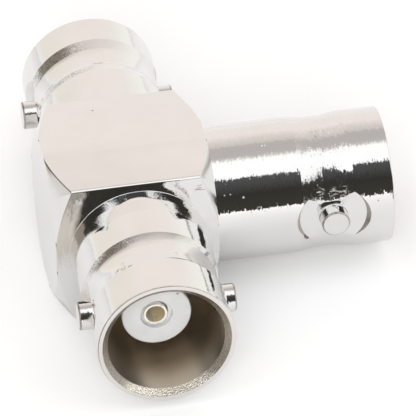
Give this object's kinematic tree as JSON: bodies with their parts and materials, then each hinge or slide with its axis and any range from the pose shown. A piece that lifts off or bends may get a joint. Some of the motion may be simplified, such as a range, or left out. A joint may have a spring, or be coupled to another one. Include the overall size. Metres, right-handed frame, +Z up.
{
  "type": "bnc t adapter",
  "caption": "Coaxial T adapter: female bayonet jacks on the front, rear and right side of a square bar, joined inside by a centre contact.",
  "frame": {"origin": "on the bar's bottom flat, under the point where the three jack axes cross", "axes": "+X out of the stem jack, -Y out of the front jack, +Z up"},
  "size_m": [0.0243, 0.0336, 0.0111],
  "materials": {
    "nickel_plate": "bright nickel plate over turned brass",
    "white_insulator": "smooth white fluoropolymer",
    "contact_plate": "thin gold flash over bright brass"
  },
  "bodies": {
    "root": {"tee_body": "nickel_plate", "front_jack_shell": "nickel_plate", "rear_jack_shell": "nickel_plate", "front_jack_left_lug": "nickel_plate", "front_jack_right_lug": "nickel_plate", "rear_jack_left_lug": "nickel_plate", "rear_jack_right_lug": "nickel_plate", "stem_front_lug": "nickel_plate", "stem_rear_lug": "nickel_plate", "front_insulator": "white_insulator", "rear_insulator": "white_insulator", "stem_insulator": "white_insulator", "through_contact": "contact_plate", "stem_contact": "contact_plate"}
  },
  "joints": []
}
